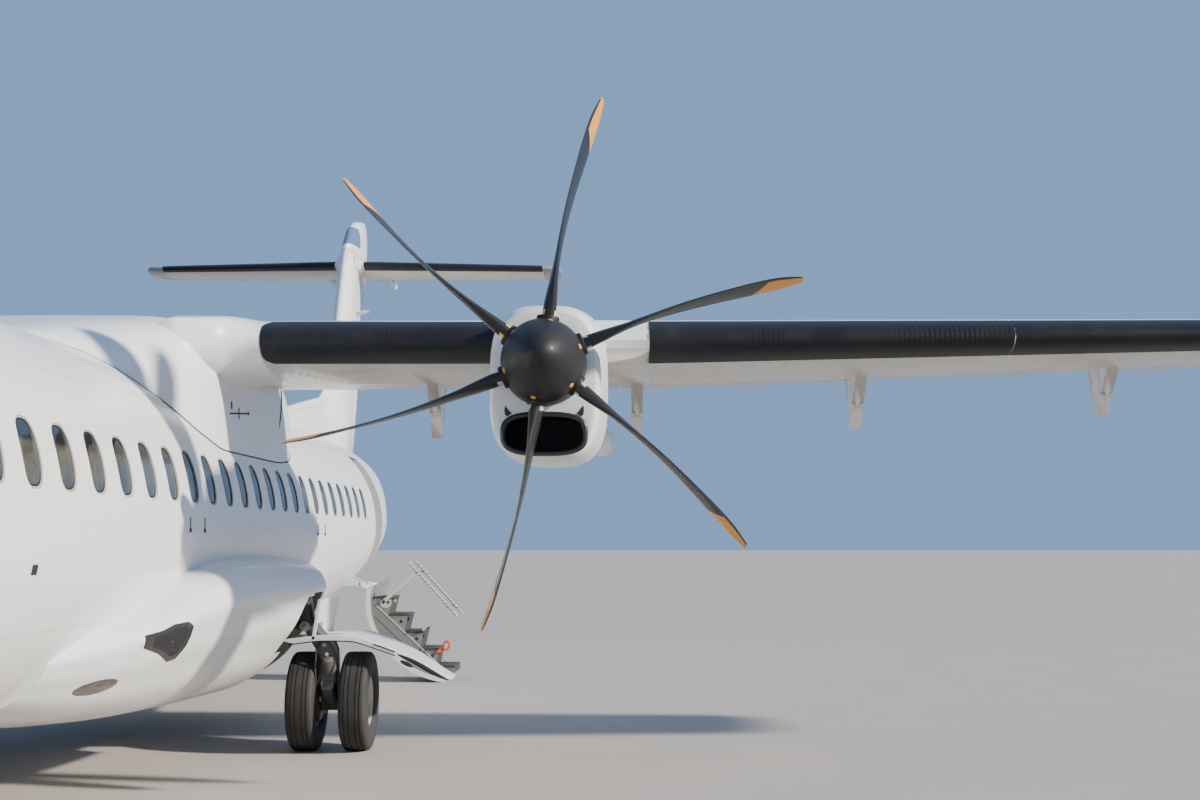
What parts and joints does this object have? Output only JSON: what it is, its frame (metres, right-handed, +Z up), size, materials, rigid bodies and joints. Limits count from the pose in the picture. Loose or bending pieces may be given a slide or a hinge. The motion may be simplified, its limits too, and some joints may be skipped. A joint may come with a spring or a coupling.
{
  "type": "twin turboprop airliner",
  "caption": "High-wing, T-tail turboprop airliner parked on its gear, propellers feathered, rear airstair door open; doors, flaps, controls, wheels and propellers move.",
  "frame": {"origin": "on the ground, below the middle of the overall box", "axes": "nose towards -Y, port side +X, +Z up"},
  "size_m": [27.05, 27.166, 7.6],
  "materials": {
    "white_paint": "gloss",
    "white_composite": "gloss",
    "cockpit_glass": "polished",
    "engine_metal": "satin",
    "propeller_black": "matte",
    "gear_dark": "satin",
    "gear_steel": "satin",
    "wheel_rim": "satin",
    "tyre": "matte",
    "stair_grey": "satin"
  },
  "bodies": {
    "airframe": {"radome": "white_composite", "cockpit_section": "white_paint", "forward_fuselage": "white_paint", "centre_fuselage": "white_paint", "rear_fuselage": "white_paint", "tail_cone": "white_paint", "service_door": "white_paint", "windscreen": "cockpit_glass", "wing_centre_section": "white_paint", "outer_wing_port": "white_composite", "outer_wing_stbd": "white_composite", "wing_fairing": "white_composite", "belly_fairing": "white_composite", "nacelle_port": "white_composite", "nacelle_stbd": "white_composite", "engine_port": "engine_metal", "engine_stbd": "engine_metal", "fin": "white_composite", "fin_cap": "white_composite", "tailplane": "white_composite", "main_gear_leg_port": "gear_dark", "main_gear_leg_stbd": "gear_dark", "main_gear_door_port": "white_composite", "main_gear_door_stbd": "white_composite", "nose_gear_leg": "gear_steel", "nose_gear_door_port": "white_composite", "nose_gear_door_stbd": "white_composite"},
    "cargo_door": {"cargo_door": "white_paint"},
    "airstair": {"airstair_door": "white_paint", "airstair_steps": "stair_grey", "handrail_front": "gear_steel", "handrail_aft": "gear_steel"},
    "propeller_port": {"propeller_port": "propeller_black"},
    "propeller_stbd": {"propeller_stbd": "propeller_black"},
    "flap_inner_port": {"flap_inner_port": "white_composite"},
    "flap_inner_stbd": {"flap_inner_stbd": "white_composite"},
    "flap_outer_port": {"flap_outer_port": "white_composite"},
    "flap_outer_stbd": {"flap_outer_stbd": "white_composite"},
    "aileron_port": {"aileron_port": "white_composite"},
    "aileron_stbd": {"aileron_stbd": "white_composite"},
    "elevator_port": {"elevator_port": "white_composite"},
    "elevator_stbd": {"elevator_stbd": "white_composite"},
    "rudder": {"rudder": "white_composite"},
    "nose_fork": {"nose_gear_fork": "gear_steel"},
    "nose_wheels": {"nose_wheels": "wheel_rim", "nose_tyre_port": "tyre", "nose_tyre_stbd": "tyre"},
    "main_wheels_port": {"main_wheels_port": "wheel_rim", "main_tyre_port_inner": "tyre", "main_tyre_port_outer": "tyre"},
    "main_wheels_stbd": {"main_wheels_stbd": "wheel_rim", "main_tyre_stbd_inner": "tyre", "main_tyre_stbd_outer": "tyre"}
  },
  "joints": [
    {"name": "propeller_port_spin", "type": "hinge", "parent": "airframe", "child": "propeller_port", "pos_m": [4.05, -3.953, 3.13], "axis": [0, 1, 0], "continuous": true},
    {"name": "propeller_stbd_spin", "type": "hinge", "parent": "airframe", "child": "propeller_stbd", "pos_m": [-4.05, -3.953, 3.13], "axis": [0, 1, 0], "continuous": true},
    {"name": "flap_inner_port_hinge", "type": "hinge", "parent": "airframe", "child": "flap_inner_port", "pos_m": [2.885, -0.4998, 3.0325], "axis": [-1, 0, 0], "range_deg": [0, 35]},
    {"name": "flap_outer_port_hinge", "type": "hinge", "parent": "airframe", "child": "flap_outer_port", "pos_m": [4.78, -0.4998, 3.0325], "axis": [-0.9989, 0.0301, -0.0358], "range_deg": [0, 35]},
    {"name": "aileron_port_hinge", "type": "hinge", "parent": "airframe", "child": "aileron_port", "pos_m": [9.74, -0.5791, 3.5438], "axis": [-0.999, 0.0349, -0.0275], "range_deg": [-14, 14]},
    {"name": "elevator_port_hinge", "type": "hinge", "parent": "airframe", "child": "elevator_port", "pos_m": [0.19, 12.4189, 6.61], "axis": [-1, 0.0006, 0], "range_deg": [-24, 14]},
    {"name": "flap_inner_stbd_hinge", "type": "hinge", "parent": "airframe", "child": "flap_inner_stbd", "pos_m": [-2.885, -0.4998, 3.0325], "axis": [-1, 0, 0], "range_deg": [0, 35]},
    {"name": "flap_outer_stbd_hinge", "type": "hinge", "parent": "airframe", "child": "flap_outer_stbd", "pos_m": [-4.78, -0.4998, 3.0325], "axis": [-0.9989, -0.0301, 0.0358], "range_deg": [0, 35]},
    {"name": "aileron_stbd_hinge", "type": "hinge", "parent": "airframe", "child": "aileron_stbd", "pos_m": [-9.74, -0.5791, 3.5438], "axis": [-0.999, -0.0349, 0.0275], "range_deg": [-14, 14]},
    {"name": "elevator_stbd_hinge", "type": "hinge", "parent": "airframe", "child": "elevator_stbd", "pos_m": [-0.19, 12.4189, 6.61], "axis": [-1, -0.0006, 0], "range_deg": [-24, 14]},
    {"name": "rudder_hinge", "type": "hinge", "parent": "airframe", "child": "rudder", "pos_m": [0, 10.93, 3.37], "axis": [0, 0.3569, 0.9341], "range_deg": [-27, 27]},
    {"name": "cargo_door_hinge", "type": "hinge", "parent": "airframe", "child": "cargo_door", "pos_m": [1.227, -8.9855, 2.714], "axis": [0, -1, 0], "range_deg": [0, 95]},
    {"name": "airstair_hinge", "type": "hinge", "parent": "airframe", "child": "airstair", "pos_m": [1.2, 5.907, 1.28], "axis": [0, -1, 0], "range_deg": [0, 144.5]},
    {"name": "nose_steering", "type": "hinge", "parent": "airframe", "child": "nose_fork", "pos_m": [0, -11.853, 0.64], "axis": [0, 0, 1], "range_deg": [-60, 60]},
    {"name": "nose_wheels_spin", "type": "hinge", "parent": "nose_fork", "child": "nose_wheels", "pos_m": [0, -11.853, 0.225], "axis": [1, 0, 0], "continuous": true},
    {"name": "main_wheels_port_spin", "type": "hinge", "parent": "airframe", "child": "main_wheels_port", "pos_m": [2.065, -1.083, 0.432], "axis": [1, 0, 0], "continuous": true},
    {"name": "main_wheels_stbd_spin", "type": "hinge", "parent": "airframe", "child": "main_wheels_stbd", "pos_m": [-2.065, -1.083, 0.432], "axis": [1, 0, 0], "continuous": true}
  ],
  "couplings": [
    {"joint": "flap_outer_port_hinge", "follows": "flap_inner_port_hinge", "ratio": 1},
    {"joint": "flap_inner_stbd_hinge", "follows": "flap_inner_port_hinge", "ratio": 1},
    {"joint": "flap_outer_stbd_hinge", "follows": "flap_inner_port_hinge", "ratio": 1},
    {"joint": "aileron_stbd_hinge", "follows": "aileron_port_hinge", "ratio": -1},
    {"joint": "elevator_stbd_hinge", "follows": "elevator_port_hinge", "ratio": 1}
  ]
}
